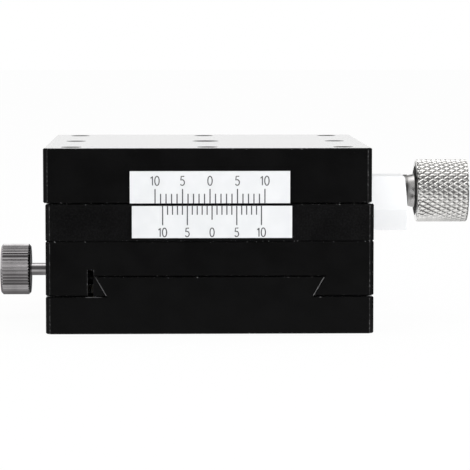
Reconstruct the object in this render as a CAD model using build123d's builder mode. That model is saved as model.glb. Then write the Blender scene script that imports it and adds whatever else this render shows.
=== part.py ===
from build123d import *
import os
from math import cos, pi, radians, sin, tan

# A two-axis hand-driven dovetail slide: two equal feed-screw stages, the upper one
# turned a quarter turn on the lower one. All sizes are in millimetres.
# A stage is modelled on its own floor plane: x along the travel towards the knob,
# y towards the clamp screw, z up, with the origin under the middle of its base.
# Threads are plain cylinders: fixed screws have the root radius where they are tapped in.

# Square plates of one stage, which end a little outside their corner holes
hole_pitch = 25.0
hole_edge = 5.0
stage_height = 17.0
shoulder_height = 6.8
plate_gap = 0.2
corner_chamfer = 0.85
edge_chamfer = 0.2

# Dovetail, and the gib that takes up its play
dovetail_width = 42.0
dovetail_height = 3.65
flank_angle = 60.0
roof_gap = 0.2
sliding_gap = 0.03
broken_edge = 0.15
gib_top_width = 0.3
gib_end_gap = 0.25
gib_slot_width = 1.0
gib_slot_rise = 1.1
gib_broken_edge = 0.08

# Fixing holes, and the screws that join the two stages
tap_radius = 1.65
tap_depth = 6.0
clear_radius = 2.25
mouth_chamfer = 0.3
counterbore_radius = 3.8
counterbore_depth = 4.2
joining_head_radius = 3.5
joining_head_height = 4.0
joining_screw_length = 8.0
joining_socket = 3.0

# Feed screw, its nut, and the channel that the nut runs in
screw_height = 7.35
travel = 20.0
thread_radius = 2.5
journal_radius = 1.75
running_gap = 0.04
thread_overrun = 1.0
nut_length = 12.0
nut_width = 8.6
nut_drop = 4.05
nut_side_gap = 0.2
nut_floor_gap = 0.4
nut_roof_gap = 0.1
spigot_radius = 3.5
spigot_web = 1.5
seat_gap = 0.01
nut_chamfer = 0.4

# Small cap screws, in the nut and in the bearing block
small_root_radius = 1.02
small_clear_radius = 1.4
small_head_radius = 2.25
small_head_height = 2.2
small_bore_radius = 2.5
small_bore_depth = 2.5
small_socket = 2.0
nut_screw_end_gap = 0.35
block_screw_length = 12.0
screw_head_chamfer = 0.2

# Bearing block at the knob end of the base
block_thickness = 8.0
block_width = 21.0
block_bottom = 0.5
block_shoulder = 4.3
block_roof_gap = 0.28
block_chamfer = 0.2
block_screw_offset = 6.3
block_screw_height = 3.4
block_hole_depth = 9.0
bush_radius = 2.5
washer_radius = 3.1
washer_thickness = 0.72
end_play = 0.03

# Knob on the feed screw
neck_radius = 3.15
neck_flare_length = 0.2
neck_flare_height = 0.45
stop_gap = 0.1
knob_radius = 6.05
knob_back_radius = 5.45
knob_back_slope = 0.2
knob_back_chamfer = 0.35
knurl_length = 9.6
knob_end_chamfer = 0.4
knob_end_wall = 2.8
knob_screw_place = 4.9
knob_screw_length = 3.4

# Socket set screws, in the gib side of the table and in the knob
set_screw_radius = 1.24
set_screw_socket = 1.5
gib_screw_spacing = 36.0
gib_screw_length = 6.0

# Clamp screw with its knurled head, and the soft pad at its tip
clamp_height = 9.2
clamp_shank_radius = 1.2
clamp_head_radius = 4.9
clamp_head_length = 5.7
clamp_standoff = 4.2
clamp_head_chamfer = 0.4
knurl_teeth = 50
knurl_depth = 0.22
pad_radius = 1.15
pad_length = 1.2

# Scale plates on the side away from the clamp
scale_length = 29.2
scale_height = 5.85
scale_thickness = 0.5
scale_offset = 0.38
vernier_bottom = 0.65

# Where each table stands, along its travel from mid-stroke
lower_table_offset = 0.0
upper_table_offset = -0.37

# Sizes that follow from those above
plate_side = 2 * (hole_pitch + hole_edge)
half_side = plate_side / 2
table_bottom = shoulder_height + plate_gap
dovetail_top = shoulder_height + dovetail_height
roof_height = dovetail_top + roof_gap
flank_run = 1 / tan(radians(flank_angle))
flank_gap = sliding_gap / sin(radians(flank_angle))
gib_back = dovetail_width / 2 + gib_top_width
gib_wall = gib_back + gib_slot_width
slot_top = roof_height + gib_slot_rise
channel_width = nut_width + 2 * nut_side_gap
channel_floor = screw_height - nut_drop - nut_floor_gap
thread_start = -(travel / 2 + nut_length / 2 + thread_overrun)
channel_round = -(travel / 2 + nut_length / 2)
channel_start = channel_round - channel_width / 2
nut_top = roof_height - nut_roof_gap
spigot_top = stage_height - small_bore_depth - spigot_web
spigot_height = spigot_top - nut_top
nut_screw_length = spigot_web + spigot_height - nut_screw_end_gap
small_root_hole = small_root_radius + seat_gap
set_hole_radius = set_screw_radius + seat_gap
block_top = roof_height - block_roof_gap
block_face = half_side + block_thickness
block_screw_seat = block_face - small_bore_depth
knob_start = block_face + washer_thickness + end_play
knob_back = half_side + travel / 2 + stop_gap
knurl_start = knob_back + knob_back_slope + knob_back_chamfer
knob_end = knurl_start + knurl_length
shaft_end = knob_end - knob_end_wall
knob_screw_x = knurl_start + knob_screw_place
clamp_head_start = half_side + clamp_standoff
pad_end = gib_back + pad_length
hair = 0.01


def end_plane(floor, distance=0.0, height=0.0):
    """An upright plane that faces along the travel: its x is the stage's y, its y is up."""
    middle = floor.origin + floor.x_dir * distance + floor.z_dir * height
    return Plane(middle, x_dir=floor.y_dir, z_dir=floor.x_dir)


def side_plane(floor, distance=0.0, height=0.0):
    """An upright plane that faces the clamp side: its x runs away from the knob, its y is up."""
    middle = floor.origin + floor.y_dir * distance + floor.z_dir * height
    return Plane(middle, x_dir=-floor.x_dir, z_dir=floor.y_dir)


def scale_plane(floor, height):
    """The upright face that carries the scales: its x runs towards the knob, its y is up."""
    middle = floor.origin - floor.y_dir * half_side + floor.z_dir * height
    return Plane(middle, x_dir=floor.x_dir, z_dir=-floor.y_dir)


def flank_at(height):
    """Half the width of the male dovetail at a height above the floor."""
    return dovetail_width / 2 - (dovetail_top - height) * flank_run


def between(edges, floor, direction, low, high):
    """The edges whose middles lie between two places along a direction of the stage."""
    return edges.filter_by_position(Axis(floor.origin, direction), low - hair, high + hair)


def end_edges(edges, floor):
    """The edges that lie in the two end faces of a stage."""
    near = between(edges, floor, floor.x_dir, -half_side, -half_side)
    return near + between(edges, floor, floor.x_dir, half_side, half_side)


def make_dovetail(floor):
    """The male dovetail by itself, with the edges of its two ends broken."""
    foot = shoulder_height - dovetail_height / 2
    section = [(-flank_at(foot), foot), (-dovetail_width / 2, dovetail_top),
               (dovetail_width / 2, dovetail_top), (flank_at(foot), foot)]
    with BuildPart() as dovetail:
        with BuildSketch(end_plane(floor, -half_side)):
            with BuildLine():
                Polyline(*section, close=True)
            make_face()
        extrude(amount=plate_side)
        lips = end_edges(dovetail.edges(), floor)
        chamfer(between(lips, floor, floor.z_dir, foot + broken_edge, dovetail_top), broken_edge)
    return dovetail


def make_base(floor):
    """Base plate with the male dovetail and the channel for the feed nut."""
    from_its_start = (Align.MIN, Align.CENTER)
    with BuildPart() as base:
        with BuildSketch(floor):
            Rectangle(plate_side, plate_side)
        extrude(amount=shoulder_height)
        chamfer(base.edges().filter_by(Axis.Z), corner_chamfer)
        chamfer(base.faces().filter_by(Axis.Z).edges(), edge_chamfer)
        add(make_dovetail(floor).part)
        with BuildSketch(floor.offset(channel_floor)):
            with Locations((channel_round, 0)):
                Rectangle(half_side - channel_round, channel_width, align=from_its_start)
                Circle(channel_width / 2)
        extrude(amount=roof_height - channel_floor, mode=Mode.SUBTRACT)
        with Locations(floor.offset(shoulder_height)):
            with GridLocations(2 * hole_pitch, 2 * hole_pitch, 2, 2):
                CounterBoreHole(clear_radius, counterbore_radius, counterbore_depth)
        with Locations(end_plane(floor, half_side, block_screw_height)):
            with GridLocations(2 * block_screw_offset, 0, 2, 1):
                Hole(small_root_hole, depth=block_hole_depth)
    return base


def make_table(floor):
    """Table plate with the female dovetail, the gib slot and the fixing holes."""
    groove = [(-flank_at(table_bottom) - flank_gap, table_bottom),
              (-flank_at(roof_height) - flank_gap, roof_height),
              (gib_back, roof_height), (gib_back, slot_top),
              (gib_wall, slot_top), (gib_wall, table_bottom)]
    side_screws = [(-gib_screw_spacing / 2, 0), (0, 0), (gib_screw_spacing / 2, 0)]
    above_rim = table_bottom + 2 * edge_chamfer
    with BuildPart() as table:
        with BuildSketch(floor.offset(table_bottom)):
            Rectangle(plate_side, plate_side)
        extrude(amount=stage_height - table_bottom)
        chamfer(table.edges().filter_by(Axis.Z), corner_chamfer)
        chamfer(table.faces().filter_by(Axis.Z).edges(), edge_chamfer)
        with BuildSketch(end_plane(floor, -half_side)):
            with BuildLine():
                Polyline(*groove, close=True)
            make_face()
        extrude(amount=plate_side, mode=Mode.SUBTRACT)
        lips = end_edges(table.edges(), floor)
        lips = between(lips, floor, floor.z_dir, above_rim, slot_top)
        chamfer(between(lips, floor, floor.y_dir, -gib_wall, gib_wall), broken_edge)
        with Locations(floor.offset(stage_height)):
            with GridLocations(2 * hole_pitch, 0, 2, 1):
                CounterSinkHole(tap_radius, tap_radius + mouth_chamfer)
            with GridLocations(hole_pitch, 2 * hole_pitch, 3, 2):
                CounterSinkHole(tap_radius, tap_radius + mouth_chamfer, depth=tap_depth)
            CounterBoreHole(small_clear_radius, small_bore_radius, small_bore_depth)
        with Locations(floor.offset(spigot_top + seat_gap)):
            Hole(spigot_radius + seat_gap, depth=spigot_height + nut_roof_gap + seat_gap)
        with Locations(side_plane(floor, half_side, clamp_height)):
            with Locations(*side_screws):
                Hole(set_hole_radius, depth=half_side - gib_wall)
    return table


def make_gib(floor):
    """Loose strip with one sloping face, pressed against the dovetail by its screws."""
    low = shoulder_height + gib_end_gap
    high = roof_height - gib_end_gap
    section = [(flank_at(low) + flank_gap, low), (gib_back, low),
               (gib_back, high), (flank_at(high) + flank_gap, high)]
    with BuildPart() as gib:
        with BuildSketch(end_plane(floor, -half_side)):
            with BuildLine():
                Polyline(*section, close=True)
            make_face()
        extrude(amount=plate_side)
        slope = gib.faces().sort_by(Axis(floor.origin, floor.y_dir))[0]
        chamfer(end_edges(slope.edges(), floor), gib_broken_edge)
    return gib


def make_cap_screws(seat, places, head_radius, head_height, shank_radius, length, socket):
    """Socket cap screws seated on one plane, with their shanks at the thread's root radius."""
    up = Axis(seat.origin, seat.z_dir)
    with BuildPart() as screws:
        with BuildSketch(seat), Locations(*places):
            Circle(head_radius)
        extrude(amount=head_height)
        rims = screws.edges().filter_by(GeomType.CIRCLE).group_by(up)[-1]
        chamfer(rims, screw_head_chamfer)
        with BuildSketch(seat), Locations(*places):
            Circle(shank_radius)
        extrude(amount=-length)
        with BuildSketch(seat.offset(head_height)), Locations(*places):
            RegularPolygon(socket / 2, 6, major_radius=False)
        extrude(amount=-head_height / 2, mode=Mode.SUBTRACT)
    return screws


def make_set_screws(tip, places, length):
    """Socket set screws standing on their tips, with the sockets at the far ends."""
    with BuildPart() as screws:
        with BuildSketch(tip), Locations(*places):
            Circle(set_screw_radius)
        extrude(amount=length)
        with BuildSketch(tip.offset(length)), Locations(*places):
            RegularPolygon(set_screw_socket / 2, 6, major_radius=False)
        extrude(amount=-set_screw_socket, mode=Mode.SUBTRACT)
    return screws


def make_block(floor):
    """Bearing block with sloping shoulders, low enough for the table to pass over it."""
    half_width = block_width / 2
    crown = half_width - (block_top - block_shoulder)
    outline = [(-half_width, block_bottom), (-half_width, block_shoulder), (-crown, block_top),
               (crown, block_top), (half_width, block_shoulder), (half_width, block_bottom)]
    with BuildPart() as block:
        with BuildSketch(end_plane(floor, half_side)):
            with BuildLine():
                Polyline(*outline, close=True)
            make_face()
        extrude(amount=block_thickness)
        outer = block.faces().sort_by(Axis(floor.origin, floor.x_dir))[-1]
        chamfer(outer.edges(), block_chamfer)
        with Locations(end_plane(floor, block_face, screw_height)):
            Hole(bush_radius + seat_gap)
        with Locations(end_plane(floor, block_face, block_screw_height)):
            with GridLocations(2 * block_screw_offset, 0, 2, 1):
                CounterBoreHole(small_clear_radius, small_bore_radius, small_bore_depth)
    return block


def make_ring(plane, outer, inner, thickness):
    """A plain ring, for the bush and the thrust washer."""
    with BuildPart() as ring:
        with BuildSketch(plane):
            Circle(outer)
            Circle(inner, mode=Mode.SUBTRACT)
        extrude(amount=thickness)
    return ring


def make_feed_screw(floor):
    """Threaded rod with a thinner journal that runs in the bush and holds the knob."""
    with BuildPart() as rod:
        with BuildSketch(end_plane(floor, thread_start, screw_height)):
            Circle(thread_radius)
        extrude(amount=half_side - end_play - thread_start)
        with BuildSketch(end_plane(floor, thread_start, screw_height)):
            Circle(journal_radius)
        extrude(amount=shaft_end - thread_start)
    return rod


def make_nut(floor):
    """Feed nut: a block on the feed screw with a spigot that fits up into the table."""
    bottom = screw_height - nut_drop
    with BuildPart() as nut:
        with BuildSketch(floor.offset(bottom)):
            Rectangle(nut_length, nut_width)
        extrude(amount=nut_top - bottom)
        chamfer(nut.edges().filter_by(Axis.Z), nut_chamfer)
        with BuildSketch(floor.offset(nut_top)):
            Circle(spigot_radius)
        extrude(amount=spigot_height)
        with Locations(floor.offset(spigot_top)):
            Hole(small_root_hole, depth=spigot_height)
        with Locations(end_plane(floor, nut_length / 2, screw_height)):
            Hole(thread_radius + running_gap)
    return nut


def make_knob(floor):
    """Turned knob: flared neck, sloping back, rim for the knurl, blind bore."""
    lathe = Plane(floor.origin + floor.z_dir * screw_height, x_dir=floor.x_dir, z_dir=-floor.y_dir)
    back_rim = knob_back + knob_back_slope
    bore = journal_radius + seat_gap
    with BuildPart() as knob:
        with BuildSketch(lathe):
            with BuildLine():
                Polyline((shaft_end, 0), (shaft_end, bore), (knob_start, bore),
                         (knob_start, neck_radius), (knob_back - neck_flare_length, neck_radius),
                         (knob_back, neck_radius + neck_flare_height),
                         (back_rim, knob_back_radius), (knurl_start, knob_radius),
                         (knob_end - knob_end_chamfer, knob_radius),
                         (knob_end, knob_radius - knob_end_chamfer), (knob_end, 0), close=True)
            make_face()
        revolve(axis=Axis(lathe.origin, lathe.x_dir))
        with BuildSketch(side_plane(floor, 0, screw_height)):
            with Locations((-knob_screw_x, 0)):
                Circle(set_hole_radius)
        extrude(amount=knob_radius + hair, mode=Mode.SUBTRACT)
    return knob


def make_clamp_screw(floor):
    """Thumb screw: a straight-knurled head on a thin shank that screws into the table."""
    teeth = []
    for step in range(2 * knurl_teeth):
        radius = clamp_head_radius - knurl_depth * (step % 2)
        angle = pi * step / knurl_teeth
        teeth.append((radius * cos(angle), radius * sin(angle)))
    lathe = end_plane(floor, 0, clamp_height)
    head_end = clamp_head_start + clamp_head_length
    chamfered = clamp_head_radius - clamp_head_chamfer
    with BuildPart() as screw:
        with BuildSketch(side_plane(floor, clamp_head_start, clamp_height)):
            with BuildLine():
                Polyline(*teeth, close=True)
            make_face()
        extrude(amount=clamp_head_length)
        with BuildSketch(lathe):
            with BuildLine():
                Polyline((clamp_head_start, 0), (clamp_head_start, chamfered),
                         (clamp_head_start + clamp_head_chamfer, clamp_head_radius),
                         (head_end - clamp_head_chamfer, clamp_head_radius),
                         (head_end, chamfered), (head_end, 0), close=True)
            make_face()
        revolve(axis=Axis(lathe.origin, lathe.x_dir), mode=Mode.INTERSECT)
        with BuildSketch(side_plane(floor, pad_end, clamp_height)):
            Circle(clamp_shank_radius)
        extrude(amount=clamp_head_start - pad_end)
    return screw


def make_pad(floor):
    """Round brass pad between the clamp screw and the gib."""
    with BuildPart() as pad:
        with BuildSketch(side_plane(floor, gib_back, clamp_height)):
            Circle(pad_radius)
        extrude(amount=pad_length)
    return pad


def make_scale(floor, bottom):
    """Thin plate for a scale, fixed to the face away from the clamp."""
    with BuildPart() as scale:
        with BuildSketch(scale_plane(floor, bottom + scale_height / 2)):
            with Locations((scale_offset, 0)):
                Rectangle(scale_length, scale_height)
        extrude(amount=scale_thickness)
    return scale


def save(piece, name):
    piece.part.label = name
    export_step(piece.part, f"parts/{name}.step")


os.makedirs("parts", exist_ok=True)
lower_floor = Plane((0, 0, 0), x_dir=(0, 1, 0), z_dir=(0, 0, 1))
upper_floor = Plane((0, lower_table_offset, stage_height), x_dir=(1, 0, 0), z_dir=(0, 0, 1))
stages = [("lower", "saddle", lower_floor, lower_table_offset),
          ("upper", "platform", upper_floor, upper_table_offset)]
middle_place = [(0, 0)]
block_places = [(-block_screw_offset, 0), (block_screw_offset, 0)]
gib_places = [(-gib_screw_spacing / 2, 0), (gib_screw_spacing / 2, 0)]

for stage, table_name, floor, offset in stages:
    carriage = Plane(floor.origin + floor.x_dir * offset, x_dir=floor.x_dir, z_dir=floor.z_dir)
    save(make_base(floor), f"{stage}_base")
    save(make_block(floor), f"{stage}_bearing_block")
    block_seat = end_plane(floor, block_screw_seat, block_screw_height)
    save(make_cap_screws(block_seat, block_places, small_head_radius, small_head_height,
                         small_root_radius, block_screw_length, small_socket),
         f"{stage}_block_screws")
    save(make_ring(end_plane(floor, half_side, screw_height), bush_radius,
                   journal_radius + running_gap, block_thickness), f"{stage}_bush")
    save(make_ring(end_plane(floor, block_face, screw_height), washer_radius,
                   journal_radius + running_gap, washer_thickness), f"{stage}_thrust_washer")
    save(make_scale(floor, vernier_bottom), f"{stage}_vernier_scale")
    save(make_feed_screw(floor), f"{stage}_feed_screw")
    save(make_knob(floor), f"{stage}_knob")
    knob_screw_tip = side_plane(floor, journal_radius, screw_height)
    save(make_set_screws(knob_screw_tip, [(-knob_screw_x, 0)], knob_screw_length),
         f"{stage}_knob_set_screw")
    save(make_table(carriage), table_name)
    save(make_gib(carriage), f"{stage}_gib")
    save(make_set_screws(side_plane(carriage, gib_back, clamp_height), gib_places,
                         gib_screw_length), f"{stage}_gib_set_screws")
    save(make_nut(carriage), f"{stage}_feed_nut")
    nut_seat = carriage.offset(stage_height - small_bore_depth)
    save(make_cap_screws(nut_seat, middle_place, small_head_radius, small_head_height,
                         small_root_radius, nut_screw_length, small_socket),
         f"{stage}_nut_screw")
    save(make_scale(carriage, table_bottom), f"{stage}_main_scale")
    save(make_clamp_screw(carriage), f"{stage}_clamp_screw")
    save(make_pad(carriage), f"{stage}_clamp_pad")

# The upper base is screwed down on the saddle, which is the lower stage's table
corner_places = [(x, y) for x in (-hole_pitch, hole_pitch) for y in (-hole_pitch, hole_pitch)]
joining_seat = upper_floor.offset(shoulder_height - counterbore_depth)
save(make_cap_screws(joining_seat, corner_places, joining_head_radius, joining_head_height,
                     tap_radius - seat_gap, joining_screw_length, joining_socket),
     "joining_screws")
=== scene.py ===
from math import cos, pi, radians, sin

import bmesh
import bpy
from mathutils import Matrix, Vector


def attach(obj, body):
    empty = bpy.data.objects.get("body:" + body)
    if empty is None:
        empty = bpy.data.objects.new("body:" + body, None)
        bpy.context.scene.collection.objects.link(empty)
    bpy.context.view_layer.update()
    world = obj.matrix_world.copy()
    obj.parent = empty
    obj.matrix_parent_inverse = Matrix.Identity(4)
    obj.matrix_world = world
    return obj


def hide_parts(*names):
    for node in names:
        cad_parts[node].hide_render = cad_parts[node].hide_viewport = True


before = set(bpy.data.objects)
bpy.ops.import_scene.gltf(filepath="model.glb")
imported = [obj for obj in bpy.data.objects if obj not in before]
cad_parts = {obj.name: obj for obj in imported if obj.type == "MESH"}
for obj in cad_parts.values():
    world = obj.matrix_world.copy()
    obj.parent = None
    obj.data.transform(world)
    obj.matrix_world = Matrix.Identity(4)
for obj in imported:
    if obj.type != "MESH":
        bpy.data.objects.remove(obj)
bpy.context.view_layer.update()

# The camera stands half a metre in front of the slide, a little above its top, so that the
# top face is seen almost edge-on.
mm = 0.001
lens = bpy.data.cameras.new("studio_camera")
lens.lens = 194.7
lens.sensor_width = 36
lens.clip_start = 0.01
looking_down, turned_right = 4.63, 1.52
camera = bpy.data.objects.new("studio_camera", lens)
camera.location = (-7.69 * mm, -492.04 * mm, 55.59 * mm)
camera.rotation_euler = (radians(90 - looking_down), 0, radians(-turned_right))
bpy.context.scene.collection.objects.link(camera)
bpy.context.scene.camera = camera
bpy.context.scene.view_settings.view_transform = "Standard"


# The studio is white but for the wall behind the camera, dark in its middle and on the right,
# and for a dark band across the ceiling that only reflections see. A softbox hangs above, and
# three that no reflection shows stand in front and at the sides.
def chosen(sockets, name):
    """The socket in use that has a name, an identifier or a number."""
    used = [socket for socket in sockets if socket.enabled]
    if isinstance(name, int):
        return used[name]
    return next(socket for socket in used if name in (socket.name, socket.identifier))


class Wire:
    """A node's output, which can be reckoned with like a number."""

    def __init__(self, board, socket):
        self.board, self.socket = board, socket

    def out(self, name):
        return Wire(self.board, chosen(self.socket.node.outputs, name))

    def math(self, operation, *values):
        values = dict(enumerate(values))
        return self.board.node("ShaderNodeMath", {"operation": operation}, values)

    def __add__(self, other):
        return self.math("ADD", self, other)

    def __sub__(self, other):
        return self.math("SUBTRACT", self, other)

    def __rsub__(self, other):
        return self.math("SUBTRACT", other, self)

    def __mul__(self, other):
        return self.math("MULTIPLY", self, other)

    def __truediv__(self, other):
        return self.math("DIVIDE", self, other)

    def __abs__(self):
        return self.math("ABSOLUTE", self)

    def near(self, value, width):
        return self.math("COMPARE", self, value, width)

    def ramp(self, low, high, start=0.0, end=1.0):
        """Rise smoothly from start to end while this value goes from low to high."""
        return self.board.node("ShaderNodeMapRange", {"interpolation_type": "SMOOTHSTEP"},
                               {"Value": self, "From Min": low, "From Max": high,
                                "To Min": start, "To Max": end})


class Board:
    """A node tree that is being wired."""

    def __init__(self, tree):
        self.tree = tree
        tree.nodes.clear()

    def node(self, kind, settings=(), sockets=(), output=0):
        made = self.tree.nodes.new(kind)
        for name, setting in dict(settings).items():
            setattr(made, name, setting)
        for name, value in dict(sockets).items():
            socket = chosen(made.inputs, name)
            if isinstance(value, Wire):
                self.tree.links.new(value.socket, socket)
            else:
                socket.default_value = value
        return Wire(self, chosen(made.outputs, output))

    def mixed(self, factor, first, second):
        """A colour between two colours."""
        return self.node("ShaderNodeMix", {"data_type": "RGBA"},
                         {"Factor": factor, "A": first, "B": second})


surroundings = bpy.data.worlds.new("studio")
surroundings.use_nodes = True
bpy.context.scene.world = surroundings
studio = Board(surroundings.node_tree)
direction = studio.node("ShaderNodeTexCoord", output="Generated")
compass = studio.node("ShaderNodeSeparateXYZ", sockets={"Vector": direction})
upward = compass.out("Z")
in_front = compass.out("Y").ramp(-0.05, -0.3)
not_left = compass.out("X").ramp(-0.5, -0.2)
below_top = upward.ramp(0.97, 0.8)
band = upward.ramp(0.45, 0.58) * upward.ramp(0.92, 0.86)
seen = studio.node("ShaderNodeLightPath", output="Is Camera Ray")
white_wall, wall_shade, band_shade = 0.93, 0.77, 0.9
brightness = (white_wall - in_front * not_left * below_top * wall_shade
              - (1.0 - in_front) * band * seen.out("Is Glossy Ray") * band_shade)
walls = studio.node("ShaderNodeCombineColor",
                    sockets={"Red": brightness, "Green": brightness, "Blue": brightness})
backdrop = studio.node("ShaderNodeBackground",
                       sockets={"Color": studio.mixed(seen, walls, (1, 1, 1, 1))})
end = studio.tree.nodes.new("ShaderNodeOutputWorld")
studio.tree.links.new(backdrop.socket, end.inputs["Surface"])

stage_height = 17.0
slide_middle = Vector((0, 0, stage_height * mm))
for name, place, side, watts, shown in [("top", (0.05, 0.1, 0.6), 0.5, 0.8, True),
                                        ("left", (-0.42, -0.4, 0.3), 0.4, 0.1, False),
                                        ("front", (0.15, -0.6, 0.22), 0.4, 1.75, False),
                                        ("right", (0.5, -0.35, 0.15), 0.3, 1.15, False)]:
    light = bpy.data.lights.new(f"softbox_{name}", "AREA")
    light.size = side
    light.energy = watts
    softbox = bpy.data.objects.new(f"softbox_{name}", light)
    softbox.location = place
    softbox.visible_glossy = shown
    aim = slide_middle - softbox.location
    softbox.rotation_euler = aim.to_track_quat("-Z", "Y").to_euler()
    bpy.context.scene.collection.objects.link(softbox)


# The floor is one plain sheet of pale board. Seen by the camera it is almost white, and it
# keeps the slide's shadow. In the metal it shows almost white too, with painted shade set
# out below.
class Finish(Board):
    """A material that is being wired."""

    def __init__(self, name):
        self.material = bpy.data.materials.new(name)
        self.material.use_nodes = True
        super().__init__(self.material.node_tree)
        self.place = self.node("ShaderNodeTexCoord", output="Object")

    def noise(self, size, detail=2.0, stretch=(1, 1, 1)):
        """Cloudy noise from 0 to 1 whose spots are about that size, in metres."""
        spread = self.node("ShaderNodeVectorMath", {"operation": "MULTIPLY"},
                           {0: self.place, 1: stretch})
        return self.node("ShaderNodeTexNoise",
                         sockets={"Vector": spread, "Scale": 1 / size, "Detail": detail})

    def lathe_marks(self, size, detail, axis, centre):
        """Noise in rings about an axis, as a cutting tool leaves them, drawn out along it."""
        lengthwise = 0.2
        outward = self.node("ShaderNodeVectorMath", {"operation": "SUBTRACT"},
                            {0: self.place, 1: centre})
        along = self.node("ShaderNodeVectorMath", {"operation": "DOT_PRODUCT"},
                          {0: outward, 1: axis}, "Value")
        across = self.node("ShaderNodeVectorMath", {"operation": "MULTIPLY"},
                           {0: outward, 1: tuple(1 - part for part in axis)})
        radius = self.node("ShaderNodeVectorMath", {"operation": "LENGTH"}, {0: across}, "Value")
        unrolled = self.node("ShaderNodeCombineXYZ",
                             sockets={"X": radius, "Y": along * lengthwise})
        return self.node("ShaderNodeTexNoise",
                         sockets={"Vector": unrolled, "Scale": 1 / size, "Detail": detail})

    def dents(self, height, depth, strength=1.0):
        """A surface normal pushed in and out by a height from 0 to 1."""
        return self.node("ShaderNodeBump",
                         sockets={"Height": height, "Distance": depth, "Strength": strength})

    def done(self, shader):
        end = self.tree.nodes.new("ShaderNodeOutputMaterial")
        self.tree.links.new(shader.socket, end.inputs["Surface"])
        return self.material


floor_reach, floor_gap = 3.0, 0.02
corners = [(-floor_reach, -floor_reach, 0), (floor_reach, -floor_reach, 0),
           (floor_reach, floor_reach, 0), (-floor_reach, floor_reach, 0)]
floor_board = bpy.data.meshes.new("studio_floor")
floor_board.from_pydata(corners, [], [(0, 1, 2, 3)])
floor = bpy.data.objects.new("studio_floor", floor_board)
floor.location.z = -floor_gap * mm
bpy.context.scene.collection.objects.link(floor)
paper = Finish("pale_board")
matt = paper.node("ShaderNodeBsdfPrincipled",
                  sockets={"Base Color": (0.9, 0.9, 0.9, 1), "Roughness": 0.9,
                           "Specular IOR Level": 0.1})
path = paper.node("ShaderNodeLightPath")
on_floor = paper.node("ShaderNodeSeparateXYZ", sockets={"Vector": paper.place})
to_the_right, to_the_back = on_floor.out("X"), on_floor.out("Y")

# Painted reflection of shade: how bright the board shows in the metal. Its glow there is
# made darker far in front, out to the sides and beneath the knob and the clamp screw, where
# the slide's shade and dark body would show.
knob_shade, clamp_shade, board_white, board_dark = 0.35, 0.68, 0.86, 0.12
# Painted shade under the knob and under the clamp screw, as the metal sees it.
under_knob = to_the_right.ramp(30 * mm, 36 * mm) * knob_shade
under_clamp = to_the_right.ramp(-27 * mm, -34 * mm) * clamp_shade
beneath = to_the_back.ramp(-16 * mm, -4 * mm) * (under_knob + under_clamp)
close_by = (to_the_back.ramp(-140 * mm, -60 * mm) * to_the_right.ramp(62 * mm, 51 * mm)
            * to_the_right.ramp(-34 * mm, -27 * mm, 0.72, 1))
# Painted reflection: the board's glow as the metal sees it, less the painted shade.
painted_reflection = close_by * (board_white - beneath) + board_dark
in_metal = path.out("Is Glossy Ray")
glow = paper.node("ShaderNodeEmission", sockets={
    "Color": (1, 1, 1, 1), "Strength": 1.0 - in_metal * (1.0 - painted_reflection)})
camera_share, metal_share = 0.95, 0.98
noticed = path.out("Is Camera Ray") * camera_share + in_metal * metal_share
sheen = paper.node("ShaderNodeMixShader", sockets={"Fac": noticed, 1: matt, 2: glow})
floor_board.materials.append(paper.done(sheen))
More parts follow.
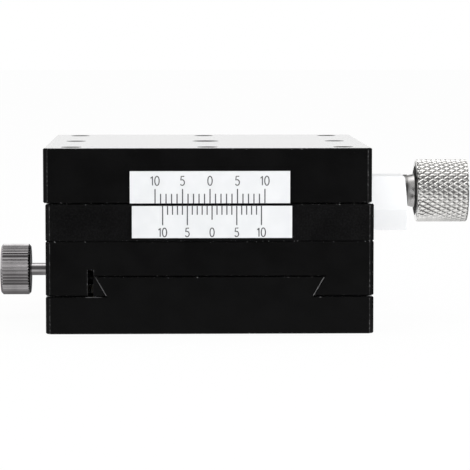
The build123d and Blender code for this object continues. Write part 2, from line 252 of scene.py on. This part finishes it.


# The plates and gibs are milled aluminium, anodised satin black. At a grazing angle the skin
# mirrors what is behind it. The edges where the plates meet are rubbed down to bare metal in
# specks, and lighter specks run along the corner chamfers. The same bare metal also paints
# highlights: along the dovetail flank's chamfer, stronger on the right and lower down, and
# along the edge under the gib.
def anodised(name, black, graininess):
    skin = Finish(name)
    clouds = skin.noise(6 * mm, 3)
    grains = skin.noise(0.28 * mm, 3)
    specks = skin.noise(0.5 * mm, 4)
    tint = clouds.ramp(0.3, 0.7, 0.85, 1.15) * grains.ramp(0.35, 0.75, 1, 1 + graininess)
    red, green, blue = (tint * part for part in black)
    dye = skin.node("ShaderNodeCombineColor",
                    sockets={"Red": red, "Green": green, "Blue": blue})
    normal = skin.node("ShaderNodeTexCoord", output="Normal")
    facing = skin.node("ShaderNodeSeparateXYZ", sockets={"Vector": normal})
    up = facing.out("Z")
    spot = skin.node("ShaderNodeSeparateXYZ", sockets={"Vector": skin.place})
    across, height = spot.out("X"), spot.out("Z")
    flank_bevel, plate_bevel, corner_bevel, spread = -0.354, 0.707, 0.5, 0.03
    more_on_the_right = across.ramp(-5 * mm, 5 * mm, 0.5, 1)
    above_seam = height.ramp(7.0 * mm, 7.1 * mm)
    less_higher_up = height.ramp(10.6 * mm, 7.6 * mm, 0.4, 1)
    # Bare-metal specks on the flank chamfer, partly wear and partly a painted highlight, stronger
    # on the right and fainter higher up.
    flank_wear_and_highlight = (up.near(flank_bevel, spread) * specks.ramp(0.25, 0.6, 0.25, 1)
                  * more_on_the_right * above_seam * less_higher_up)
    # Painted highlight: a lit edge under the gib, drawn in bare metal.
    under_gib = (across.ramp(-22.9 * mm, -22.6 * mm) * across.ramp(-19.6 * mm, -20 * mm)
                 * height.ramp(6.95 * mm, 6.85 * mm) * height.ramp(6.69 * mm, 6.75 * mm))
    painted_gib_highlight = under_gib * specks.ramp(0.3, 0.6, 0.12, 0.3)
    plate_edge = abs(up).near(plate_bevel, spread) * (specks.ramp(0.63, 0.74) * 0.5 + painted_gib_highlight)
    # Lighter metal specks along the corner chamfers, next to the front and back faces.
    corner = (abs(facing.out("X")) * abs(facing.out("Y"))).near(corner_bevel, spread)
    corner_line = corner * abs(spot.out("Y")).ramp(29.72 * mm, 29.95 * mm)
    corner_specks = corner_line * specks.ramp(0.45, 0.72, 0.02, 0.15)
    # Wear and painted highlights together, drawn in bare metal.
    bare_and_highlit = flank_wear_and_highlight.math("MAXIMUM", flank_wear_and_highlight, plate_edge + corner_specks)
    bare_metal_and_highlight = (0.62, 0.62, 0.63, 1)
    colour = skin.mixed(bare_and_highlit, dye, bare_metal_and_highlight)
    roughness = clouds.ramp(0.3, 0.7, 0.3, 0.38) + bare_and_highlit * 0.1
    bumps = skin.dents(grains, 0.01 * mm, 0.25 + graininess)
    body = skin.node("ShaderNodeBsdfPrincipled",
                     sockets={"Base Color": colour, "Metallic": bare_and_highlit, "Roughness": roughness,
                              "IOR": 1.14, "Normal": bumps})
    mirror = skin.node("ShaderNodeBsdfPrincipled",
                       sockets={"Base Color": (0.96, 0.96, 0.96, 1), "Metallic": 1.0,
                                "Roughness": 0.22})
    slant = skin.node("ShaderNodeLayerWeight", sockets={"Blend": 0.5}, output="Facing")
    grazing = slant.ramp(0.6, 0.93, 0, 0.96)
    return skin.done(skin.node("ShaderNodeMixShader",
                               sockets={"Fac": grazing, 1: body, 2: mirror}))


def dress(material, *names):
    """Give CAD pieces their material."""
    for name in names:
        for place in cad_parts[name].material_slots:
            place.material = material


smooth_black = anodised("anodised_smooth", (0.003, 0.003, 0.0031), 0.25)
grainy_black = anodised("anodised_grainy", (0.0027, 0.0027, 0.0028), 1.6)
dress(smooth_black, "lower_base", "saddle", "platform", "lower_gib", "upper_gib")
dress(grainy_black, "upper_base")

# The bearing blocks are clear anodised aluminium, blasted fine and almost white. Two cap
# screws fix each of them to its base.
blasted = Finish("clear_anodised")
frost = blasted.noise(0.15 * mm, 3)
haze = blasted.noise(5 * mm, 2)
pale = blasted.mixed(haze.ramp(0.3, 0.7), (0.94, 0.95, 0.965, 1), (0.965, 0.975, 0.985, 1))
dress(blasted.done(blasted.node(
    "ShaderNodeBsdfPrincipled",
    sockets={"Base Color": pale, "Metallic": 0.0, "Roughness": haze.ramp(0.3, 0.7, 0.42, 0.52),
             "Normal": blasted.dents(frost, 0.01 * mm, 0.2)})),
    "lower_bearing_block", "upper_bearing_block")


# Stainless steel, turned bright: cap screws in the blocks, washers, feed screws, knobs and
# clamp screws. The tool leaves rings about each axis and grease lies on them in patches, and
# the faces next to the block or the table that carries the piece are painted dark and rougher,
# as shade.
def stainless(name, turning, inward, bright, dull, smooth, rough):
    metal = Finish(name)
    marks = metal.lathe_marks(0.08 * mm, 2, *turning)
    bands = metal.lathe_marks(0.6 * mm, 3, *turning)
    grease = metal.noise(2.5 * mm, 3) * 0.4 + bands * 0.6
    normal = metal.node("ShaderNodeTexCoord", output="Normal")
    # Painted shade: faces turned toward the block or the table get the shaded colour.
    facing_in = metal.node("ShaderNodeVectorMath", {"operation": "DOT_PRODUCT"},
                           {0: normal, 1: inward}, "Value").ramp(0.5, 0.68)
    shaded = (0.06, 0.058, 0.056, 1)
    colour = metal.mixed(grease.ramp(0.4, 0.62), bright, dull)
    colour = metal.mixed(facing_in, colour, shaded)
    return metal.done(metal.node(
        "ShaderNodeBsdfPrincipled",
        sockets={"Base Color": colour, "Metallic": 1.0,
                 "Roughness": bands.ramp(0.3, 0.7, smooth, rough) + facing_in * 0.3,
                 "Normal": metal.dents(marks, 0.004 * mm, 0.35)}))


screw_height, clamp_height, upper_offset = 7.35, 9.2, -0.37
feed_turning = {"lower": ((0, 1, 0), (0, 0, screw_height * mm)),
                "upper": ((1, 0, 0), (0, 0, (stage_height + screw_height) * mm))}
clamp_turning = {"lower": ((1, 0, 0), (0, 0, clamp_height * mm)),
                 "upper": ((0, 1, 0), (upper_offset * mm, 0,
                                       (stage_height + clamp_height) * mm))}
to_block = {"lower": (0, -1, 0), "upper": (-1, 0, 0)}
to_table = {"lower": (1, 0, 0), "upper": (0, -1, 0)}
nowhere = (0, 0, 0)
# Four copies of one steel, differing mostly in brightness as painted light and shade: the knurled
# grips brightest, the turned stems and screws and the clamp heads darker, the washers darkest.
turned_steel, knurled_steel, washer_steel, shaded_clamp_steel = {}, {}, {}, {}
for stage in feed_turning:
    turned_steel[stage] = stainless(f"{stage}_turned_steel", feed_turning[stage], to_block[stage],
                                    (0.55, 0.54, 0.535, 1), (0.4, 0.39, 0.385, 1), 0.24, 0.34)
    knurled_steel[stage] = stainless(f"{stage}_knurled_steel", feed_turning[stage], nowhere,
                                     (0.97, 0.96, 0.94, 1), (0.86, 0.85, 0.83, 1), 0.06, 0.14)
    washer_steel[stage] = stainless(f"{stage}_washer_steel", feed_turning[stage], nowhere,
                                    (0.34, 0.335, 0.33, 1), (0.26, 0.255, 0.25, 1), 0.3, 0.4)
    shaded_clamp_steel[stage] = stainless(f"{stage}_dull_steel", clamp_turning[stage], to_table[stage],
                                  (0.5, 0.483, 0.49, 1), (0.42, 0.405, 0.41, 1), 0.07, 0.14)
for stage in turned_steel:
    dress(turned_steel[stage], f"{stage}_block_screws")
    dress(washer_steel[stage], f"{stage}_thrust_washer")
    dress(shaded_clamp_steel[stage], f"{stage}_clamp_screw")

# The bushes are sintered bronze, grey-brown and porous. They sit in the bearing blocks, and
# the feed screws' thin ends run in them.
bronze = Finish("sintered_bronze")
pores = bronze.noise(0.12 * mm, 3)
oily = bronze.mixed(pores.ramp(0.4, 0.6), (0.3, 0.19, 0.11, 1), (0.5, 0.34, 0.2, 1))
dress(bronze.done(bronze.node(
    "ShaderNodeBsdfPrincipled",
    sockets={"Base Color": oily, "Metallic": 1.0, "Roughness": pores.ramp(0.3, 0.7, 0.5, 0.35),
             "Normal": bronze.dents(pores, 0.01 * mm, 0.4)})),
    "lower_bush", "upper_bush")

# The feed nuts and the clamp pads are machined brass. A screw from above holds each nut, and
# each pad lies between a clamp screw and a gib.
brass = Finish("machined_brass")
swirls = brass.noise(0.08 * mm, 2, (1, 0.1, 1))
tarnish = brass.noise(2 * mm, 3)
golden = brass.mixed(tarnish.ramp(0.3, 0.7), (0.78, 0.6, 0.3, 1), (0.6, 0.44, 0.2, 1))
dress(brass.done(brass.node(
    "ShaderNodeBsdfPrincipled",
    sockets={"Base Color": golden, "Metallic": 1.0, "Roughness": tarnish.ramp(0.3, 0.7, 0.25, 0.4),
             "Normal": brass.dents(swirls, 0.005 * mm, 0.3)})),
    "lower_feed_nut", "upper_feed_nut", "lower_clamp_pad", "upper_clamp_pad")

# The small screws are black oxide steel with a thin film of oil. They join the two stages,
# hold the nuts, press the gibs and fix the knobs.
oxide = Finish("black_oxide")
film = oxide.noise(0.6 * mm, 3)
inky = oxide.mixed(film.ramp(0.35, 0.7), (0.018, 0.018, 0.02, 1), (0.05, 0.048, 0.05, 1))
dress(oxide.done(oxide.node(
    "ShaderNodeBsdfPrincipled",
    sockets={"Base Color": inky, "Metallic": 0.6, "Roughness": film.ramp(0.3, 0.7, 0.25, 0.45),
             "Normal": oxide.dents(film, 0.006 * mm, 0.2)})),
    "joining_screws", *(f"{stage}_{screw}" for stage in turned_steel
                        for screw in ("nut_screw", "gib_set_screws", "knob_set_screw")))

# The feed screws: a rolled thread of one millimetre lead on a plain rod, whose thinner end
# runs through the bush into the knob.
stage_places = {"lower": Matrix(((0, -1, 0, 0), (1, 0, 0, 0), (0, 0, 1, 0), (0, 0, 0, 1))),
                "upper": Matrix.Translation((0, 0, stage_height * mm))}


def turned(profile, around):
    """A closed mesh about the x axis, from (x, radius) points that start and end on it."""
    shape = bmesh.new()
    rings = []
    for x, radius in profile:
        turns = [2 * pi * step / around for step in range(around if radius else 1)]
        rings.append([shape.verts.new((x, radius * cos(turn), radius * sin(turn)))
                      for turn in turns])
    for left, right in zip(rings, rings[1:]):
        for step in range(around):
            near, far = step % around, (step + 1) % around
            ring = [left[near % len(left)], left[far % len(left)],
                    right[far % len(right)], right[near % len(right)]]
            shape.faces.new(dict.fromkeys(ring))
    bmesh.ops.recalc_face_normals(shape, faces=shape.faces)
    mesh = bpy.data.meshes.new("turned")
    shape.to_mesh(mesh)
    shape.free()
    return mesh


class Pattern(Board):
    """A Geometry Nodes tree that is being wired, with named inputs for its sizes."""

    kinds = {float: "NodeSocketFloat", int: "NodeSocketInt",
             bpy.types.Material: "NodeSocketMaterial"}

    def __init__(self, name, **inputs):
        tree = bpy.data.node_groups.new(name, "GeometryNodeTree")
        for title, kind in {**inputs, "Material": bpy.types.Material}.items():
            tree.interface.new_socket(title, in_out="INPUT", socket_type=self.kinds[kind])
        tree.interface.new_socket("Mesh", in_out="OUTPUT", socket_type="NodeSocketGeometry")
        super().__init__(tree)
        self.given = self.node("NodeGroupInput")

    def ready(self, geometry):
        """End the tree: real geometry with its material."""
        whole = self.node("GeometryNodeRealizeInstances", sockets={"Geometry": geometry})
        coated = self.node("GeometryNodeSetMaterial",
                           sockets={"Geometry": whole, "Material": self.given.out("Material")})
        end = self.tree.nodes.new("NodeGroupOutput")
        self.tree.links.new(coated.socket, end.inputs["Mesh"])

    def grow(self, **sizes):
        """The plain mesh that the tree makes for these sizes."""
        empty = bpy.data.objects.new("seed", bpy.data.meshes.new("seed"))
        bpy.context.scene.collection.objects.link(empty)
        modifier = empty.modifiers.new("grow", "NODES")
        modifier.node_group = self.tree
        for item in self.tree.interface.items_tree:
            if item.in_out == "INPUT":
                modifier[item.identifier] = sizes[item.name]
        grown = empty.evaluated_get(bpy.context.evaluated_depsgraph_get())
        mesh = bpy.data.meshes.new_from_object(grown)
        empty.modifiers.clear()
        bpy.data.objects.remove(empty)
        return mesh


def fitted(name, meshes, place, body, slot, *finishes):
    """Join the meshes of one piece, put it in its place and fix it on its body. Each mesh has
    its own finish, and the last finish is for all the meshes that follow."""
    shape = bmesh.new()
    for number, mesh in enumerate(meshes):
        done = len(shape.faces)
        shape.from_mesh(mesh)
        shape.faces.ensure_lookup_table()
        for face in shape.faces[done:]:
            face.material_index = min(number, len(finishes) - 1)
    shape.transform(place)
    whole = bpy.data.meshes.new(name)
    shape.to_mesh(whole)
    shape.free()
    for finish in finishes:
        whole.materials.append(finish)
    whole.shade_smooth()
    whole.set_sharp_from_angle(angle=radians(25))
    piece = bpy.data.objects.new(name, whole)
    bpy.context.scene.collection.objects.link(piece)
    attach(piece, body)
    return piece


thread = Pattern("helical_thread", Turns=float, Pitch=float, Radius=float, Tooth=float,
                 Points=int)
asked = thread.given
helix = thread.node("GeometryNodeCurveSpiral", sockets={
    "Resolution": asked.out("Points"), "Rotations": asked.out("Turns"),
    "Start Radius": asked.out("Radius"), "End Radius": asked.out("Radius"),
    "Height": asked.out("Turns") * asked.out("Pitch"), "Reverse": False})
upright = thread.node("GeometryNodeSetCurveNormal", {"mode": "Z_UP"}, {"Curve": helix})
tooth = thread.node("GeometryNodeCurvePrimitiveCircle", sockets={
    "Resolution": 3, "Radius": asked.out("Tooth")})
ridge = thread.node("GeometryNodeCurveToMesh", sockets={
    "Curve": upright, "Profile Curve": tooth, "Fill Caps": True})
thread.ready(ridge)

thread_start, thread_end, shaft_end = -17.0, 29.97, 47.45
crest_radius, root_radius, journal_radius = 2.5, 1.9, 1.75
lead, tooth_size, points_in_turn = 1.0, 0.55, 20
along_x = Matrix.Rotation(radians(90), 4, "Y")
for stage, place in stage_places.items():
    threaded = thread_end - thread_start - 2 * tooth_size
    ridge = thread.grow(Turns=threaded / lead, Pitch=lead * mm,
                        Radius=(crest_radius - tooth_size) * mm, Tooth=tooth_size * mm,
                        Points=points_in_turn, Material=turned_steel[stage])
    ridge.transform(Matrix.Translation(((thread_start + tooth_size) * mm, 0, 0)) @ along_x)
    rod = turned([(thread_start * mm, 0), (thread_start * mm, root_radius * mm),
                  (thread_end * mm, root_radius * mm), (thread_end * mm, journal_radius * mm),
                  (shaft_end * mm, journal_radius * mm), (shaft_end * mm, 0)], around=48)
    on_axis = place @ Matrix.Translation((0, 0, screw_height * mm))
    screw = fitted(f"{stage}_threaded_feed_screw", [rod, ridge], on_axis, f"{stage}_drive",
                   "stainless_steel", turned_steel[stage])
    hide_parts(f"{stage}_feed_screw")

# The knobs are turned from one bar, with a neck and a flared back. Two wheels press in the
# knurl, and their crossing grooves leave diamonds with flat tops. The grid for it has one
# column more than the round has steps, and its outer rows close the ends.
knurl = Pattern("diamond_knurl", Starts=int, Rise=float, Length=float, Radius=float,
                Depth=float, Wall=float, Chamfer=float, Around=int, Along=int)
wanted = knurl.given
starts, length = wanted.out("Starts"), wanted.out("Length")
columns, rows = wanted.out("Around"), wanted.out("Along")
sheet = knurl.node("GeometryNodeMeshGrid", sockets={
    "Size X": 1.0, "Size Y": 1.0, "Vertices X": columns, "Vertices Y": rows})


def grooves(turn, distance):
    """How far a spot of the knob is from the nearest groove of each wheel, up to a half."""
    slanted, straight = distance / wanted.out("Rise"), turn * starts
    return [wheel.math("PINGPONG", wheel, 0.5) for wheel in (straight + slanted,
                                                             straight - slanted)]


# Each tile of the grid is split along the wheel whose groove is nearer.
index = knurl.node("GeometryNodeInputIndex")
tile_across = index.math("FLOOR", index / (rows - 1)) + 0.5
tile_along = index.math("MODULO", index, rows - 1) - 0.5
near_a, near_b = grooves(tile_across / (columns - 1), tile_along / (rows - 3) * length)
sheet = knurl.node("GeometryNodeTriangulate", {"quad_method": "FIXED"},
                   {"Mesh": sheet, "Selection": near_a.math("LESS_THAN", near_a, near_b)})
sheet = knurl.node("GeometryNodeTriangulate", {"quad_method": "FIXED_ALTERNATE"},
                   {"Mesh": sheet})

# The grid is then rolled up about the x axis, at the radius that the wheels leave.
step_across = index.math("FLOOR", index / rows)
step_along = index.math("MODULO", index, rows)
turn = step_across / (columns - 1)
inner = (step_along - 1) / (rows - 3)
distance = inner.math("MINIMUM", inner.math("MAXIMUM", inner, 0.0), 1.0) * length
near_a, near_b = grooves(turn, distance)
groove = near_a.math("MINIMUM", near_a, near_b)
raised = groove.math("MINIMUM", groove / wanted.out("Wall"), 1.0)
from_end = distance.math("MINIMUM", distance, length - distance)
chamfer = from_end.math("MAXIMUM", wanted.out("Chamfer") - from_end, 0.0)
radius = from_end.math("MINIMUM", wanted.out("Radius") - (1 - raised) * wanted.out("Depth"),
                       wanted.out("Radius") - chamfer)
on_rim = step_along.math("MULTIPLY", step_along.math("GREATER_THAN", step_along, 0.5),
                         step_along.math("LESS_THAN", step_along, rows - 1.5))
radius = radius * on_rim
angle = turn * (2 * pi)
wrapped = knurl.node("ShaderNodeCombineXYZ", sockets={
    "X": distance, "Y": radius * angle.math("COSINE", angle),
    "Z": radius * angle.math("SINE", angle)})
rolled = knurl.node("GeometryNodeSetPosition", sockets={"Geometry": sheet, "Position": wrapped})
closed = knurl.node("GeometryNodeMergeByDistance",
                    sockets={"Geometry": rolled, "Distance": 0.0005 * mm})
knurl.ready(closed)

knurl_starts, knurl_rise, knurl_depth, knurl_wall = 34, 1.9, 0.15, 0.22
knurl_start, knurl_end, knob_radius, knob_chamfer = 40.45, 50.25, 6.05, 0.15
knurl_length, knurl_samples = knurl_end - knurl_start, 10
neck = [(38.75, 0), (38.75, 2.96), (39.2, 3.07), (39.6, 3.18), (40.005, 3.28), (40.03, 3.45),
        (40.08, 3.8), (40.14, 4.15), (40.22, 4.5), (40.32, 4.8), (40.5, 4.8), (40.5, 0)]
collar = [(40.31, 0), (40.31, 4.75), (40.35, 5.1), (40.4, 5.5), (40.48, 5.85), (41.2, 5.5),
          (41.2, 0)]
screw_place, screw_hole_radius, screw_tip = 45.55, 1.25, 1.75
for stage, place in stage_places.items():
    knurl_rows = round(knurl_length / knurl_rise * knurl_samples)
    grip = knurl.grow(Starts=knurl_starts, Rise=knurl_length * knurl_samples / knurl_rows * mm,
                      Length=knurl_length * mm, Radius=knob_radius * mm,
                      Depth=knurl_depth * mm, Wall=knurl_wall, Chamfer=knob_chamfer * mm,
                      Around=knurl_starts * knurl_samples + 1, Along=knurl_rows + 3,
                      Material=turned_steel[stage])
    grip.transform(Matrix.Translation((knurl_start * mm, 0, 0)))
    well_outside = 2 * knob_radius * mm
    drill = turned([(screw_tip * mm, 0), (screw_tip * mm, screw_hole_radius * mm),
                    (well_outside, screw_hole_radius * mm), (well_outside, 0)], around=32)
    drill.transform(Matrix.Translation((screw_place * mm, 0, 0))
                    @ Matrix.Rotation(radians(90), 4, "Z"))
    bar = bpy.data.objects.new("bar", grip)
    bit = bpy.data.objects.new("bit", drill)
    for tool in (bar, bit):
        bpy.context.scene.collection.objects.link(tool)
    cut = bar.modifiers.new("drill", "BOOLEAN")
    cut.object = bit
    cut.operation = "DIFFERENCE"
    cut.solver = "EXACT"
    grip = bpy.data.meshes.new_from_object(
        bar.evaluated_get(bpy.context.evaluated_depsgraph_get()))
    for tool in (bar, bit):
        bpy.data.objects.remove(tool)
    stem, back = (turned([(x * mm, radius * mm) for x, radius in profile], around=96)
                  for profile in (neck, collar))
    on_axis = place @ Matrix.Translation((0, 0, screw_height * mm))
    knob = fitted(f"{stage}_knurled_knob", [stem, grip, back], on_axis, f"{stage}_drive",
                  "stainless_steel", turned_steel[stage], knurled_steel[stage])
    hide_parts(f"{stage}_knob")

# The clamp screws are turned from one bar, with flat crests between the straight flutes of
# their heads. A plain shank runs through the table's side to the pad.
head_start, head_length, head_radius, head_chamfer = 34.2, 5.7, 4.9, 0.4
flutes, flute_depth, flute_wall, flute_samples, flute_rows = 50, 0.17, 0.4, 10, 28
never_slanted = 1e6
shank_radius, shank_tip, shank_in_head = 1.2, 22.5, 1
clamp_places = {
    "lower": Matrix.Translation((0, 0, clamp_height * mm)) @ Matrix.Rotation(pi, 4, "Z"),
    "upper": (Matrix.Translation((upper_offset * mm, 0, (stage_height + clamp_height) * mm))
              @ Matrix.Rotation(pi / 2, 4, "Z"))}
for stage, on_axis in clamp_places.items():
    head = knurl.grow(Starts=flutes, Rise=never_slanted, Length=head_length * mm,
                      Radius=head_radius * mm, Depth=flute_depth * mm, Wall=flute_wall,
                      Chamfer=head_chamfer * mm, Around=flutes * flute_samples + 1,
                      Along=flute_rows + 3, Material=shaded_clamp_steel[stage])
    head.transform(Matrix.Translation((head_start * mm, 0, 0)))
    shank_end = (head_start + shank_in_head) * mm
    shank = turned([(shank_tip * mm, 0), (shank_tip * mm, shank_radius * mm),
                    (shank_end, shank_radius * mm), (shank_end, 0)], around=48)
    clamp = fitted(f"{stage}_knurled_clamp", [head, shank], on_axis, f"{stage}_clamp",
                   "stainless_steel", shaded_clamp_steel[stage])
    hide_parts(f"{stage}_clamp_screw")

# The scale plates are white coated sheet, glued on. The printing is thin black ink: lines by
# the millimetre or nine tenths of it, and narrow plain numbers.
plate = Finish("white_plate")
mottle = plate.noise(3 * mm, 3)
chalk = plate.mixed(mottle.ramp(0.3, 0.7), (0.72, 0.732, 0.745, 1), (0.752, 0.762, 0.775, 1))
dress(plate.done(plate.node(
    "ShaderNodeBsdfPrincipled",
    sockets={"Base Color": chalk, "Roughness": mottle.ramp(0.3, 0.7, 0.4, 0.5),
             "Normal": plate.dents(plate.noise(0.2 * mm), 0.004 * mm, 0.15)})),
    *(f"{stage}_{scale}" for stage in turned_steel for scale in ("main_scale", "vernier_scale")))
ink = Finish("scale_ink")
patchy = ink.noise(0.12 * mm, 2)
grey = ink.mixed(patchy.ramp(0.3, 0.7), (0.035, 0.035, 0.04, 1), (0.09, 0.09, 0.095, 1))
printed = ink.done(ink.node("ShaderNodeBsdfPrincipled", sockets={
    "Base Color": grey, "Roughness": patchy.ramp(0.3, 0.7, 0.5, 0.7)}))

ruling = Pattern("scale_lines", Count=int, Pitch=float, Width=float, Ink=float, Short=float,
                 Fives=float, Middle=float)
drawn = ruling.given
dots = ruling.node("GeometryNodeMeshLine", {"mode": "OFFSET"}, {
    "Count": drawn.out("Count"),
    "Offset": ruling.node("ShaderNodeCombineXYZ", sockets={"X": drawn.out("Pitch")})})
line = ruling.node("GeometryNodeInputIndex")
fifth = line.math("LESS_THAN", line.math("MODULO", line, 5.0), 0.5)
middle = line.near((drawn.out("Count") - 1) / 2, 0.5)
reach = (drawn.out("Short") + fifth * (drawn.out("Fives") - drawn.out("Short"))
         + middle * (drawn.out("Middle") - drawn.out("Fives")))
dash = ruling.node("GeometryNodeMeshCube", sockets={"Size": (1, 1, 1)})
dash = ruling.node("GeometryNodeTransform",
                   sockets={"Geometry": dash, "Translation": (0, 0.5, 0.5)})
ruled = ruling.node("GeometryNodeInstanceOnPoints", sockets={
    "Points": dots, "Instance": dash, "Scale": ruling.node("ShaderNodeCombineXYZ", sockets={
        "X": drawn.out("Width"), "Y": reach, "Z": drawn.out("Ink")})})
ruling.ready(ruled)


def stroke(points, width, ink_height):
    """A pen stroke with a thickness, through points in the plane of the plate."""
    shape = bmesh.new()
    rings = []
    for number, point in enumerate(points):
        before, after = points[max(number - 1, 0)], points[min(number + 1, len(points) - 1)]
        if points[0] == points[-1] and number in (0, len(points) - 1):
            before, after = points[-2], points[1]
        heading = (Vector(after) - Vector(before)).normalized()
        side = Vector((-heading.y, heading.x)) * width / 2
        left, right = Vector(point) + side, Vector(point) - side
        rings.append([shape.verts.new((*left, 0)), shape.verts.new((*right, 0)),
                      shape.verts.new((*right, ink_height)), shape.verts.new((*left, ink_height))])
    for near, far in zip(rings, rings[1:]):
        for corner in range(4):
            shape.faces.new((near[corner], near[corner - 1], far[corner - 1], far[corner]))
    shape.faces.new(rings[0])
    shape.faces.new(reversed(rings[-1]))
    bmesh.ops.remove_doubles(shape, verts=shape.verts, dist=width / 100)
    bmesh.ops.recalc_face_normals(shape, faces=shape.faces)
    mesh = bpy.data.meshes.new("stroke")
    shape.to_mesh(mesh)
    shape.free()
    return mesh


# Each figure has its width and its strokes, for a height of 1.
oval_steps = 20
oval = [(0.22 * cos(turn) * (1 + 0.08 * sin(turn) ** 2), 0.5 + 0.46 * sin(turn))
        for turn in (2 * pi * step / oval_steps for step in range(oval_steps))]
oval.append(oval[0])
figures = {
    "0": (0.44, [oval]),
    "1": (0.2, [[(-0.13, 0.76), (-0.03, 0.83), (0.06, 0.96), (0.06, 0.04)]]),
    "5": (0.42, [[(0.17, 0.95), (-0.13, 0.95), (-0.17, 0.55), (-0.06, 0.61), (0.04, 0.6),
                  (0.14, 0.52), (0.19, 0.38), (0.19, 0.26), (0.14, 0.13), (0.04, 0.05),
                  (-0.07, 0.04), (-0.16, 0.1), (-0.2, 0.18)]])}
figure_gap = 0.2
scale_middle, plate_face = 0.38, -30.5
ink_height, line_width, pen_width = 0.012, 0.21, 0.195

# The lines start at the edge where the two plates meet, and go up or down from there. The
# figures' feet, or their heads on the lower plate, keep their distance from that edge too.
scales = {
    "main_scale": dict(edge=7.0, grow=1, pitch=1.0, short=1.73, fives=2.62, middle=2.62,
                       foot=3.2, height=1.8),
    "vernier_scale": dict(edge=6.5, grow=-1, pitch=0.9, short=1.6, fives=3.5, middle=2.5,
                          foot=3.95, height=1.72)}
lines_each_side = 10
stood_up = Matrix(((1, 0, 0, 0), (0, 0, -1, 0), (0, 1, 0, 0), (0, 0, 0, 1)))
carried = {"lower": ("lower_base", "cross_carriage", 0.0),
           "upper": ("cross_carriage", "top_carriage", upper_offset)}
for stage, place in stage_places.items():
    still, moving, offset = carried[stage]
    for scale, row in scales.items():
        lines = ruling.grow(Count=2 * lines_each_side + 1, Pitch=row["pitch"] * mm,
                            Width=line_width * mm, Ink=ink_height * mm,
                            Short=row["short"] * mm, Fives=row["fives"] * mm,
                            Middle=row["middle"] * mm, Material=printed)
        lines.transform(Matrix.Translation((-lines_each_side * row["pitch"] * mm, 0, 0)))
        if row["grow"] < 0:
            lines.transform(Matrix.Rotation(pi, 4, "Z"))
        meshes = [lines]
        for value in (-10, -5, 0, 5, 10):
            text = str(abs(value))
            size = row["height"]
            widths = [figures[letter][0] for letter in text]
            pen = -(sum(widths) + figure_gap * (len(text) - 1)) / 2
            for letter, width in zip(text, widths):
                for points in figures[letter][1]:
                    foot = row["foot"] if row["grow"] > 0 else -row["foot"] - size
                    spots = [((value * row["pitch"] + (pen + width / 2 + x) * size) * mm,
                              (foot + y * size) * mm) for x, y in points]
                    meshes.append(stroke(spots, pen_width * mm, ink_height * mm))
                pen += width + figure_gap
        shift = offset if scale == "main_scale" else 0.0
        on_plate = place @ Matrix.Translation(((scale_middle + shift) * mm, plate_face * mm,
                                               row["edge"] * mm)) @ stood_up
        fitted(f"{stage}_{scale}_printing", meshes, on_plate,
               moving if scale == "main_scale" else still, "scale_ink", printed)

# The holes in the top plate are tapped, to screw a load down on it. Each has a real thread
# inside, cut into the black plate and starting a little below its face.
tapped = []
hole_pitch, tap_pitch, tap_radius, tap_turns = 25.0, 0.7, 1.65, 7.5
tap_tooth, tooth_in_wall, below_face = 0.2, 0.08, 0.6
for column in (-1, 0, 1):
    for rank in (-1, 0, 1):
        if column or rank:
            ridge = thread.grow(Turns=tap_turns, Pitch=tap_pitch * mm,
                                Radius=(tap_radius + tooth_in_wall) * mm,
                                Tooth=tap_tooth * mm, Points=points_in_turn,
                                Material=smooth_black)
            ridge.transform(Matrix.Translation((
                column * hole_pitch * mm, rank * hole_pitch * mm,
                (stage_height - below_face - tap_turns * tap_pitch) * mm)))
            tapped.append(ridge)
fitted("platform_tapped_threads", tapped,
       stage_places["upper"] @ Matrix.Translation((upper_offset * mm, 0, 0)), "top_carriage",
       "black_anodised", smooth_black)
